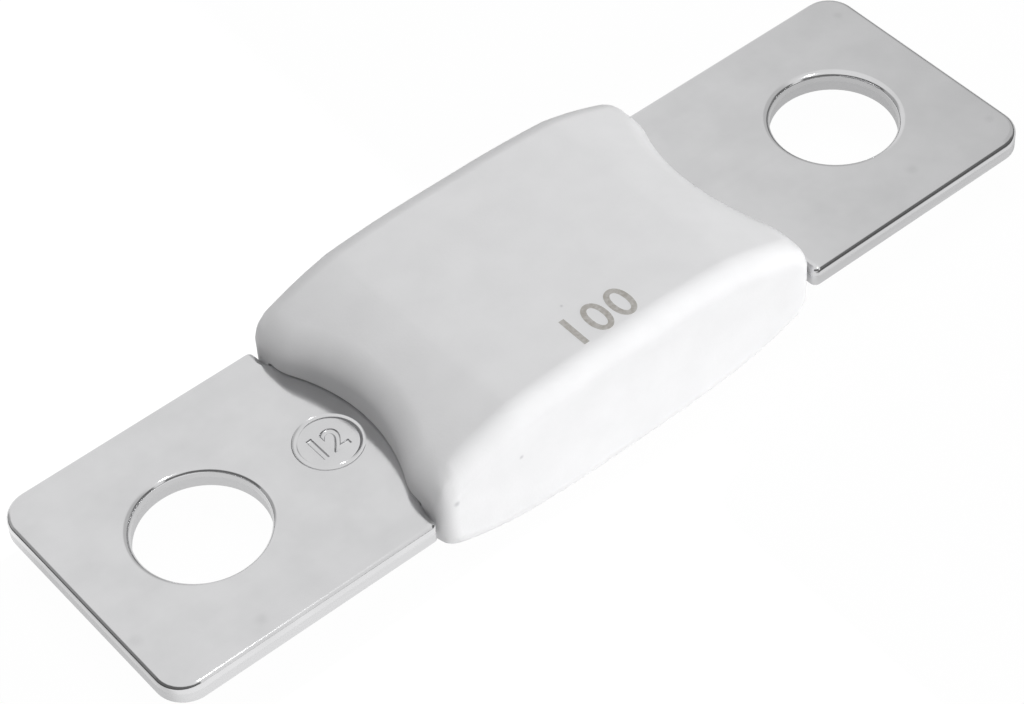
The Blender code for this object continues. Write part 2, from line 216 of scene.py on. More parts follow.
class FinishSettings(bpy.types.PropertyGroup):
    """Colours of the finishes."""

    plating: colour("Plating", "Bright tin plating", "d9d9da")
    plating_dull: colour("Dull plating", "Tin plating where it is stained", "bababb")
    plating_cut: colour("Cut plating", "Tin plating over the torn part of a cut edge", "d6d6d7")
    moulding: colour("Moulding", "White glass-filled polyamide", "e9e9ea")
    moulding_shade: colour("Moulding shade", "The same where the glass lies shallow", "e5e5e6")
    scuff: colour("Scuff", "Grey of a scuff on the moulding", "a8a8ac")
    ink: colour("Ink", "Printed number", "a6a29c")
    tin: colour("Tin", "Cast tin bead", "b8babb")


class StageSettings(bpy.types.PropertyGroup):
    """Camera and lamps."""

    lens: FloatProperty(
        name="Lens", description="Focal length in mm", default=109.02, unit="CAMERA", min=1
    )
    front_power: FloatProperty(
        name="Front power", description="Power of the front softbox", default=3.8, unit="POWER"
    )
    top_power: FloatProperty(
        name="Top power", description="Power of the top softbox", default=1.9, unit="POWER"
    )
    back_power: FloatProperty(
        name="Back power",
        description="Power of the softbox at the back left",
        default=0.26,
        unit="POWER",
    )
    spark_power: FloatProperty(
        name="Spark power", description="Power of the small mirrored lamp", default=0.5, unit="POWER"
    )
    floor_size: length("Floor size", "Side of the square floor", 2000.0)


def alone(piece):
    """Leave only this piece selected and active."""
    bpy.ops.object.select_all(action="DESELECT")
    piece.select_set(True)
    bpy.context.view_layer.objects.active = piece


def settle(piece):
    """Put the piece's place into its mesh."""
    alone(piece)
    bpy.ops.object.transform_apply(location=True, rotation=True, scale=True)
    return piece


def named(name):
    """The primitive that was just added, under its own name and with its place in its mesh."""
    piece = bpy.context.object
    piece.name = name
    piece.data.name = name
    return settle(piece)


def block(name, low, high):
    """A box between two corners."""
    low, high = Vector(low), Vector(high)
    bpy.ops.mesh.primitive_cube_add(size=1, location=(low + high) / 2, scale=high - low)
    return named(name)


def round_bar(name, radius, low, high, centre, sides):
    """An upright cylinder between two heights."""
    bpy.ops.mesh.primitive_cylinder_add(
        vertices=sides,
        radius=radius,
        depth=high - low,
        location=(*centre, (low + high) / 2),
    )
    return named(name)


def pick(piece, kind, chosen):
    """Open the piece for editing with only the chosen vertices, edges or faces selected."""
    alone(piece)
    bpy.ops.object.mode_set(mode="EDIT")
    bpy.context.tool_settings.mesh_select_mode = [kind == k for k in ("VERT", "EDGE", "FACE")]
    bpy.ops.mesh.select_all(action="DESELECT")
    shape = bmesh.from_edit_mesh(piece.data)
    parts = {"VERT": shape.verts, "EDGE": shape.edges, "FACE": shape.faces}[kind]
    for part in parts:
        part.select_set(bool(chosen(part)))
    bmesh.update_edit_mesh(piece.data)


def close():
    """End the editing that pick began."""
    bpy.ops.object.mode_set(mode="OBJECT")


def upright_edges_at(x, y):
    """A test for the upright edges at this distance from both middle lines, None for any."""

    def chosen(edge):
        a, b = (vert.co for vert in edge.verts)
        if abs(a.z - b.z) < HAIR or (a.xy - b.xy).length > HAIR:
            return False
        return (x is None or abs(abs(a.x) - x) < HAIR) and (y is None or abs(abs(a.y) - y) < HAIR)

    return chosen


def rim_at(z):
    """A test for the sharp edges round a flat face at this height."""

    def chosen(edge):
        level = all(abs(vert.co.z - z) < HAIR for vert in edge.verts)
        return level and edge.calc_face_angle(0) > ROLL_FROM

    return chosen


def round_edges(piece, chosen, radius, steps):
    pick(piece, "EDGE", chosen)
    bpy.ops.mesh.bevel(offset=radius, segments=steps, profile=0.5, affect="EDGES")
    close()


def apply_modifier(piece, kind, **settings):
    """Add a modifier, set it and apply it."""
    modifier = piece.modifiers.new(kind.title(), kind)
    for name, value in settings.items():
        setattr(modifier, name, value)
    alone(piece)
    bpy.ops.object.modifier_apply(modifier=modifier.name)


def combine(piece, operation, *tools):
    """Cut the tools out of the piece, or join them on."""
    for tool in tools:
        apply_modifier(piece, "BOOLEAN", operation=operation, object=tool, solver="EXACT")
        bpy.data.objects.remove(tool, do_unlink=True)
    return piece


def finish_piece(piece, material, *nodes, slot):
    """Smooth the piece, give it its material and put it in the place of its CAD nodes."""
    alone(piece)
    bpy.ops.object.shade_smooth_by_angle(angle=SHARP_FROM)
    apply_modifier(piece, "WEIGHTED_NORMAL", keep_sharp=True, weight=100)
    piece.data.materials.clear()
    piece.data.materials.append(material)
    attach(piece, "root")
    if nodes:
        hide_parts(*nodes)


def set_inputs(tree, node, values):
    """Link or set a node's inputs. A node as a value is linked by its first live output."""
    for name, value in values.items():
        if isinstance(value, bpy.types.Node):
            value = next(output for output in value.outputs if output.enabled)
        if isinstance(value, bpy.types.NodeSocket):
            tree.links.new(value, node.inputs[name])
        elif value is not None:
            node.inputs[name].default_value = value


def add_node(tree, kind, *inputs, **settings):
    """Add a node with its settings. Its live inputs come in order, None to leave one as it is."""
    node = tree.nodes.new("ShaderNode" + kind)
    for name, value in settings.items():
        setattr(node, name, value)
    live = [place for place, socket in enumerate(node.inputs) if socket.enabled]
    set_inputs(tree, node, dict(zip(live, inputs)))
    return node


def new_material(name):
    """A material, with its node tree and its shader."""
    material = bpy.data.materials.new(name)
    material.use_nodes = True
    return material, material.node_tree, material.node_tree.nodes["Principled BSDF"]


def grain(tree, coordinates, size, detail=2.0, stretch=(1, 1, 1)):
    """Noise whose spots are this many metres across, stretched along an axis by its share."""
    scale = [1 / (size * share) for share in stretch]
    scaled = add_node(tree, "Mapping", coordinates, None, None, scale)
    return add_node(tree, "TexNoise", scaled, 1, detail)


def spots(tree, coordinates, places):
    """A mask of soft round spots, each given by its centre and radius in mm."""
    mask = 0
    for x, y, z, radius in places:
        centre = (x * MM, y * MM, z * MM)
        away = add_node(tree, "VectorMath", coordinates, centre, operation="DISTANCE")
        share = add_node(
            tree,
            "MapRange",
            away,
            radius * MM,
            radius * MM * SPOT_CORE,
            interpolation_type="SMOOTHSTEP",
        )
        mask = add_node(tree, "Math", mask, share, operation="MAXIMUM")
    return mask


def plated_material(finish):
    """Tin-plated copper alloy, rolled and stamped.

    The bright plating mirrors its surroundings softly. Rolling leaves faint lines along the
    strip, handling leaves dull stains, and the punch leaves upright streaks where it tore the
    lower part of the cut edges. Real lines and streaks are finer, and are drawn as coarse as
    they need to show.
    """
    material, tree, shader = new_material("Bright tin plating on rolled copper")
    coordinates = add_node(tree, "TexCoord").outputs["Object"]
    rolled = grain(tree, coordinates, 0.25 * MM, 3.0, (24, 1, 1))
    cloud = grain(tree, coordinates, 3.0 * MM, 3.0)
    streaks = grain(tree, coordinates, 0.12 * MM, 2.0, (1, 1, 30))
    stains = spots(tree, coordinates, STAINS)

    normal = add_node(tree, "NewGeometry").outputs["True Normal"]
    upward = add_node(tree, "SeparateXYZ", normal).outputs["Z"]
    flatness = add_node(tree, "Math", upward, operation="ABSOLUTE")
    steep = add_node(tree, "MapRange", flatness, 0.3, 0.05)
    height = add_node(tree, "SeparateXYZ", coordinates).outputs["Z"]
    torn_zone = add_node(tree, "MapRange", height, TORN_TOP, TORN_FULL)
    cut_face = add_node(tree, "Math", steep, torn_zone, operation="MULTIPLY")

    dulled = add_node(tree, "MapRange", cloud, 0.35, 0.75, 0, 0.25)
    dulled = add_node(tree, "Math", stains, 0.2, dulled, operation="MULTIPLY_ADD")
    plating = add_node(
        tree, "Mix", dulled, (*finish.plating, 1), (*finish.plating_dull, 1), data_type="RGBA"
    )
    plating = add_node(tree, "Mix", cut_face, plating, (*finish.plating_cut, 1), data_type="RGBA")
    rough = add_node(tree, "MapRange", rolled, 0.3, 0.7, 0.10, 0.15)
    rough = add_node(tree, "Math", cut_face, 0.25, rough, operation="MULTIPLY_ADD")

    lines = add_node(tree, "MapRange", rolled, 0, 1, 0, 0.0006 * MM)
    dents = add_node(tree, "Math", stains, -0.0008 * MM, lines, operation="MULTIPLY_ADD")
    torn = add_node(tree, "Math", streaks, cut_face, operation="MULTIPLY")
    relief = add_node(tree, "Math", torn, 0.003 * MM, dents, operation="MULTIPLY_ADD")
    bump = add_node(tree, "Bump", 1, 1, None, relief)
    set_inputs(
        tree, shader, {"Base Color": plating, "Metallic": 1, "Roughness": rough, "Normal": bump}
    )
    return material


def moulded_material(finish):
    """White glass-filled polyamide, injection moulded.

    The moulding is matte and nearly neutral. Glass near the skin makes it faintly uneven, the
    spark-eroded mould leaves a grain, drawn as coarse as it needs to show, and handling leaves
    a few grey scuffs.
    """
    material, tree, shader = new_material("White glass-filled polyamide moulding")
    coordinates = add_node(tree, "TexCoord").outputs["Object"]
    cloud = grain(tree, coordinates, 2.5 * MM, 4.0)
    skin = grain(tree, coordinates, 0.16 * MM, 3.0)
    flow = grain(tree, coordinates, 1.2 * MM, 2.0, (5, 1, 1))
    scuffs = spots(tree, coordinates, SCUFFS)

    uneven = add_node(tree, "MapRange", cloud, 0.3, 0.7)
    base = add_node(
        tree, "Mix", uneven, (*finish.moulding, 1), (*finish.moulding_shade, 1), data_type="RGBA"
    )
    faint = add_node(tree, "Math", scuffs, 0.5, operation="MULTIPLY")
    base = add_node(tree, "Mix", faint, base, (*finish.scuff, 1), data_type="RGBA")
    rough = add_node(tree, "MapRange", flow, 0.3, 0.7, 0.50, 0.60)
    grained = add_node(tree, "MapRange", skin, 0, 1, 0, 0.006 * MM)
    relief = add_node(tree, "Math", flow, 0.006 * MM, grained, operation="MULTIPLY_ADD")
    bump = add_node(tree, "Bump", 1, 1, None, relief)
    set_inputs(
        tree, shader, {"Base Color": base, "Roughness": rough, "IOR": 1.53, "Normal": bump}
    )
    return material


def ink_material(finish):
    """Pad-printed ink.

    The ink is thin, so the white shows through a little where it lies unevenly.
    """
    material, tree, shader = new_material("Pad-printed grey ink")
    coordinates = add_node(tree, "TexCoord").outputs["Object"]
    thin = add_node(tree, "MapRange", grain(tree, coordinates, 0.25 * MM, 3.0), 0.35, 0.75, 0, 0.4)
    base = add_node(tree, "Mix", thin, (*finish.ink, 1), (*finish.moulding, 1), data_type="RGBA")
    rough = add_node(tree, "MapRange", thin, 0, 0.4, 0.5, 0.65)
    set_inputs(tree, shader, {"Base Color": base, "Roughness": rough})
    return material


def tin_material(finish):
    """Cast tin, melted on to the link.

    The bead froze with a dull, faintly crystalline skin.
    """
    material, tree, shader = new_material("Cast tin bead")
    coordinates = add_node(tree, "TexCoord").outputs["Object"]
    crystals = add_node(tree, "TexVoronoi", coordinates, 1 / (0.3 * MM))
    shade = [0.8 * c for c in finish.tin]
    base = add_node(tree, "Mix", crystals, (*finish.tin, 1), (*shade, 1), data_type="RGBA")
    rough = add_node(tree, "MapRange", crystals, 0, 1, 0.35, 0.5)
    relief = add_node(tree, "MapRange", crystals, 0, 1, 0, 0.01 * MM)
    bump = add_node(tree, "Bump", 1, 1, None, relief)
    set_inputs(
        tree, shader, {"Base Color": base, "Metallic": 1, "Roughness": rough, "Normal": bump}
    )
    return material


def flat_number(name, body, height, stroke, thickness, centre, top, slope=0, spacing=1):
    """A number lying flat, centred on a point, with its top face at a height.

    With a slope its sides lean out, above and below its middle.
    """
    bpy.ops.object.text_add()
    text = bpy.context.object
    text.name = name
    text.data.body = body
    text.data.align_x = "CENTER"
    text.data.align_y = "CENTER"
    text.data.space_character = spacing
    text.data.offset = stroke / height
    text.data.extrude = thickness / height / 2 - slope / height
    text.data.bevel_depth = slope / height
    text.data.resolution_u = 12
    alone(text)
    bpy.ops.object.convert(target="MESH")
    text = bpy.context.object
    low = Vector(min(v.co[i] for v in text.data.vertices) for i in range(3))
    high = Vector(max(v.co[i] for v in text.data.vertices) for i in range(3))
    scale = height / (high.y - low.y)
    for vert in text.data.vertices:
        vert.co -= (low + high) / 2
        vert.co *= scale
    text.location = (*centre, top - thickness / 2)
    return settle(text)


class FUSE_OT_strip(bpy.types.Operator):
    """Stamp, roll and coin the plated strip."""

    bl_idname = "fuse.strip"
    bl_label = "Plated strip"

    def execute(self, context):
        sizes, coin = context.scene.fuse_strip, context.scene.fuse_coin
        strip = block("plated_strip", STRIP_LOW, STRIP_HIGH)
        blade_end, blade_side = STRIP_HIGH.x, STRIP_HIGH.y
        round_edges(strip, upright_edges_at(blade_end, blade_side), sizes.blade_corner, CORNER_STEPS)

        shoulder, neck = sizes.neck_length / 2, sizes.neck_width / 2
        self.notch(strip, shoulder, neck, 2 * blade_side, sizes.neck_fillet)
        round_edges(
            strip, upright_edges_at(shoulder, blade_side), sizes.shoulder_corner, CORNER_STEPS
        )
        self.punch(strip, sizes.bolt_hole, sizes.hole_spacing, HOLE_SIDES)
        round_edges(strip, rim_at(STRIP_HIGH.z), sizes.edge_roll, ROLL_STEPS)
        pick(strip, "VERT", lambda vert: True)
        bpy.ops.mesh.remove_doubles(threshold=sizes.edge_roll / 10)
        close()
        round_edges(strip, rim_at(STRIP_LOW.z), sizes.burr_edge, ROLL_STEPS // 2)

        self.punch(strip, sizes.locating_hole, sizes.locating_spacing, POST_SIDES)
        self.form_link(strip, sizes, neck)
        self.coin_blade(strip, coin)
        finish_piece(
            strip, plated_material(context.scene.fuse_finish), "fuse_strip", slot="plated_strip"
        )
        return {"FINISHED"}

    def span(self):
        """Heights well below and above the strip."""
        return STRIP_LOW.z - HALF_THICKNESS, STRIP_HIGH.z + HALF_THICKNESS

    def notch(self, strip, half_length, inner, outer, fillet):
        """Cut both long sides of the strip back to a half width, over a length."""
        low, high = self.span()
        for side in (-1, 1):
            y = sorted((side * inner, side * outer))
            tool = block("notch", (-half_length, y[0], low), (half_length, y[1], high))
            round_edges(tool, upright_edges_at(half_length, inner), fillet, CORNER_STEPS)
            combine(strip, "DIFFERENCE", tool)

    def punch(self, strip, diameter, spacing, sides):
        for side in (-1, 1):
            place = (side * spacing / 2, 0)
            combine(
                strip, "DIFFERENCE", round_bar("punch", diameter / 2, *self.span(), place, sides)
            )

    def form_link(self, strip, sizes, neck):
        """Narrow the link, slot it from both sides and thin it."""
        low, high = self.span()
        half_length, half_width = sizes.link_length / 2, sizes.link_width / 2
        self.notch(strip, half_length, half_width, 2 * neck, sizes.link_corner)
        leg = (sizes.link_length - 2 * sizes.slot_width) / 3
        floor = sizes.slot_bridge - half_width
        for side in (-1, 1):
            x = sorted((side * leg / 2, side * (leg / 2 + sizes.slot_width)))
            y = sorted((-side * floor, side * -neck))
            slot = block("slot", (x[0], y[0], low), (x[1], y[1], high))
            full_round = sizes.slot_width * 0.49
            round_edges(slot, upright_edges_at(None, abs(floor)), full_round, CORNER_STEPS)
            combine(strip, "DIFFERENCE", slot)
        reach, skin = half_length - sizes.thinning_setback, sizes.link_thickness / 2
        for bottom, top in ((low, STRIP_MIDDLE - skin), (STRIP_MIDDLE + skin, high)):
            cutter = block("thinning", (-reach, -neck, bottom), (reach, neck, top))
            combine(strip, "DIFFERENCE", cutter)

    def coin_blade(self, strip, coin):
        """Press a ring groove and a plain number into the top of one blade."""
        bpy.ops.mesh.primitive_torus_add(
            location=(coin.place, 0, STRIP_HIGH.z + coin.lift),
            major_segments=RING_SIDES,
            minor_segments=RING_SECTION,
            major_radius=coin.ring_radius,
            minor_radius=coin.groove,
        )
        combine(strip, "DIFFERENCE", named("ring_punch"))
        punch_height = 4 * coin.number_slope
        number = flat_number(
            "number_punch",
            coin.number,
            coin.number_height,
            coin.stroke,
            punch_height,
            (coin.place, 0),
            STRIP_HIGH.z - coin.number_depth + punch_height,
            coin.number_slope,
        )
        combine(strip, "DIFFERENCE", number)


def end_curve(sizes, inset):
    """How far out the housing's end stands at each distance from the middle line.

    The end is a flat land beside each corner, a convex blend, and a scoop round the bolt hole.
    """
    end = HOUSING_LENGTH / 2 - inset
    blend = max(sizes.scoop_blend - inset, sizes.least_corner)
    scoop_x = bpy.context.scene.fuse_strip.hole_spacing / 2
    scoop = scoop_x - HOUSING_LENGTH / 2 + sizes.scoop_depth + inset
    blend_x = end - blend
    blend_y = math.sqrt((scoop + blend) ** 2 - (scoop_x - blend_x) ** 2)
    meeting_y = blend_y * scoop / (scoop + blend)

    def reach(y):
        if y >= blend_y:
            return end
        if y >= meeting_y:
            return blend_x + math.sqrt(blend**2 - (blend_y - y) ** 2)
        return scoop_x - math.sqrt(scoop**2 - y**2)

    blended = [meeting_y + (blend_y - meeting_y) * i / BLEND_STEPS for i in range(BLEND_STEPS + 1)]
    scooped = [meeting_y * i / SCOOP_STEPS for i in range(SCOOP_STEPS)]
    return reach, scooped + blended


def profile_drop(sizes, fall, x):
    """How far the roof has fallen from its crown, at this distance along the housing."""
    flat = sizes.crown_flat / 2
    crown_end = HOUSING_LENGTH / 2 - sizes.ramp_length
    crown_fall = (crown_end - flat) ** 2 / (2 * sizes.crown_radius)
    slope = (fall - crown_fall) / sizes.ramp_length
    slope -= sizes.ramp_length / (2 * sizes.ramp_radius)
    curved = min(max(abs(x), flat), crown_end) - flat
    ramp = max(abs(x) - crown_end, 0)
    return curved**2 / (2 * sizes.crown_radius) + slope * ramp + ramp**2 / (2 * sizes.ramp_radius)


def pillow(name, sizes, inset, crown, fall, base, fillet):
    """A block on the housing's plan, moved in by an inset, with a rounded and sloping roof.

    It is built flat about its own middle, rounded, divided across and let down to its profile.
    """
    half = Vector((HOUSING_LENGTH / 2 - inset, HOUSING_WIDTH / 2 - inset))
    piece = block(name, (-half.x, -half.y, base), (half.x, half.y, crown))
    reach, lines = end_curve(sizes, inset)
    for y in sorted({side * line for line in lines for side in (-1, 1)}):
        pick(piece, "FACE", lambda face: abs(face.normal.x) > 0.9)
        bpy.ops.mesh.bisect(plane_co=(0, y, 0), plane_no=(0, 1, 0))
        close()
    for vert in piece.data.vertices:
        vert.co.x = math.copysign(reach(abs(vert.co.y)), vert.co.x)

    corner = max(sizes.corner - inset, sizes.least_corner)
    upright = upright_edges_at(half.x, half.y)
    shape = bmesh.new()
    shape.from_mesh(piece.data)
    weight = shape.edges.layers.float.new("bevel_weight_edge")
    for edge in shape.edges:
        a, b = (vert.co for vert in edge.verts)
        if upright(edge):
            edge[weight] = corner / fillet if corner < fillet else 1
        elif min(a.z, b.z) > crown - HAIR:
            edge[weight] = 1
    shape.to_mesh(piece.data)
    shape.free()
    apply_modifier(
        piece,
        "BEVEL",
        width=fillet,
        segments=FILLET_STEPS,
        limit_method="WEIGHT",
        use_clamp_overlap=False,
    )

    crown_end = HOUSING_LENGTH / 2 - sizes.ramp_length
    flat = sizes.crown_flat / 2
    crown_steps = math.ceil((crown_end - flat) / (2 * STATION_STEP))
    ramp_steps = math.ceil((half.x - crown_end) / STATION_STEP)
    stations = [flat + (crown_end - flat) * i / crown_steps for i in range(crown_steps)]
    stations += [crown_end + (half.x - crown_end) * i / ramp_steps for i in range(ramp_steps)]
    for x in [-s for s in stations] + stations:
        pick(piece, "FACE", lambda face: abs(face.normal.x) < 0.01 and face.normal.z > -0.5)
        bpy.ops.mesh.bisect(plane_co=(x, 0, 0), plane_no=(1, 0, 0))
        close()
    for vert in piece.data.vertices:
        if vert.co.z > base + HAIR:
            vert.co.z -= profile_drop(sizes, fall, vert.co.x)
    return piece


def bosses(sizes, radius, low, high):
    """A round column on each locating hole, in the housing's own frame."""
    spacing = bpy.context.scene.fuse_strip.locating_spacing
    return [
        round_bar(
            "column", radius, low, high, (side * spacing / 2 - HOUSING_MIDDLE.x, 0), POST_SIDES
        )
        for side in (-1, 1)
    ]


def side_bars(half_length, inner, outer, low, high):
    """A bar along each long wall of the housing."""
    near = block("bar", (-half_length, -outer, low), (half_length, -inner, high))
    far = block("bar", (-half_length, inner, low), (half_length, outer, high))
    return [near, far]


def hollow_shell(name, sizes, crown, fall):
    """One shell, open at the parting plane, with its crown up and its bosses and ribs inside."""
    strip = bpy.context.scene.fuse_strip
    foot = HALF_THICKNESS + sizes.strip_play
    half_width = HOUSING_WIDTH / 2
    shell = pillow(name, sizes, 0, crown, fall, sizes.seam / 2, sizes.edge_fillet)
    cavity_crown, cavity_base = crown - sizes.roof_wall, -foot
    cavity = pillow(
        "cavity", sizes, sizes.side_wall, cavity_crown, fall, cavity_base, sizes.cavity_fillet
    )
    boss = strip.locating_hole / 2 + sizes.boss_wall
    combine(cavity, "DIFFERENCE", *bosses(sizes, boss, foot, crown))
    reach = half_width - sizes.side_wall / 2
    for side in (-1, 1):
        x = side * strip.locating_spacing / 2 - HOUSING_MIDDLE.x
        rib = block(
            "rib",
            (x - sizes.rib / 2, -reach, foot + sizes.rib_setback),
            (x + sizes.rib / 2, reach, crown),
        )
        combine(cavity, "DIFFERENCE", rib)
    half_slot = strip.neck_width / 2 + sizes.strip_play
    slot = block("slot", (-HOUSING_LENGTH, -half_slot, -foot), (HOUSING_LENGTH, half_slot, foot))
    combine(shell, "DIFFERENCE", cavity, slot)
    reach, _ = end_curve(sizes, 0)

    def at_mouth(edge):
        return all(
            abs(v.co.z - foot) < HAIR and abs(abs(v.co.x) - reach(abs(v.co.y))) < LOOSE
            for v in edge.verts
        )

    round_edges(shell, at_mouth, sizes.mouth, ROLL_STEPS)
    return shell


class FUSE_OT_shells(bpy.types.Operator):
    """Mould the two hollow shells that close on the strip."""

    bl_idname = "fuse.shells"
    bl_label = "Moulded shells"

    def execute(self, context):
        sizes = context.scene.fuse_housing
        material = moulded_material(context.scene.fuse_finish)
        post = context.scene.fuse_strip.locating_hole / 2 - sizes.clearance
        foot = HALF_THICKNESS + sizes.strip_play
        inner = HOUSING_WIDTH / 2 - sizes.side_wall
        half_length = HOUSING_LENGTH / 2 - sizes.tongue_setback
        room = sizes.clearance

        upper = hollow_shell("upper_shell", sizes, UPPER_CROWN, sizes.upper_fall)
        combine(
            upper,
            "DIFFERENCE",
            *bosses(sizes, post + room, -foot, sizes.post_reach + room),
            *side_bars(
                half_length + room,
                inner - room,
                inner + sizes.tongue + room,
                -room,
                sizes.tongue + room,
            ),
        )
        lower = hollow_shell("lower_shell", sizes, LOWER_CROWN, sizes.lower_fall)
        rooted = foot + 2 * sizes.rib_setback
        combine(
            lower,
            "UNION",
            *bosses(sizes, post, -sizes.post_reach, rooted),
            *side_bars(half_length, inner, inner + sizes.tongue, -sizes.tongue, rooted),
        )
        alone(lower)
        bpy.ops.transform.rotate(value=math.pi, orient_axis="X", center_override=(0, 0, 0))
        for shell, node in ((upper, "upper_housing"), (lower, "lower_housing")):
            shell.location += HOUSING_MIDDLE
            settle(shell)
            finish_piece(shell, material, node, slot="housing")
        return {"FINISHED"}


class FUSE_OT_tin_bead(bpy.types.Operator):
    """Melt the tin bead on to the middle of the link."""

    bl_idname = "fuse.tin_bead"
    bl_label = "Tin bead"

    def execute(self, context):
        seat = STRIP_MIDDLE + context.scene.fuse_strip.link_thickness / 2
        radius = (SPOT_HIGH.x - SPOT_LOW.x) / 2
        height = SPOT_HIGH.z - SPOT_LOW.z
        bead = round_bar("tin_bead", radius, seat + HAIR, seat + height, (0, 0), POST_SIDES)
        dome = height * 0.85
        round_edges(
            bead,
            lambda edge: all(vert.co.z > seat + height - HAIR for vert in edge.verts),
            dome,
            CORNER_STEPS,
        )
        finish_piece(bead, tin_material(context.scene.fuse_finish), "tin_spot", slot="tin")
        return {"FINISHED"}


class FUSE_OT_printed_number(bpy.types.Operator):
    """Print the plain number on the roof."""

    bl_idname = "fuse.printed_number"
    bl_label = "Printed number"

    def execute(self, context):
        sizes, housing = context.scene.fuse_print, context.scene.fuse_housing
        number = flat_number(
            "printed_number",
            sizes.number,
            sizes.height,
            sizes.stroke,
            sizes.thickness,
            (sizes.centre_x, sizes.centre_y),
            UPPER_HIGH.z + sizes.thickness,
            spacing=sizes.spacing,
        )
        for vert in number.data.vertices:
            vert.co.z -= profile_drop(housing, housing.upper_fall, vert.co.x - HOUSING_MIDDLE.x)
        finish_piece(number, ink_material(context.scene.fuse_finish), slot="housing")
        return {"FINISHED"}


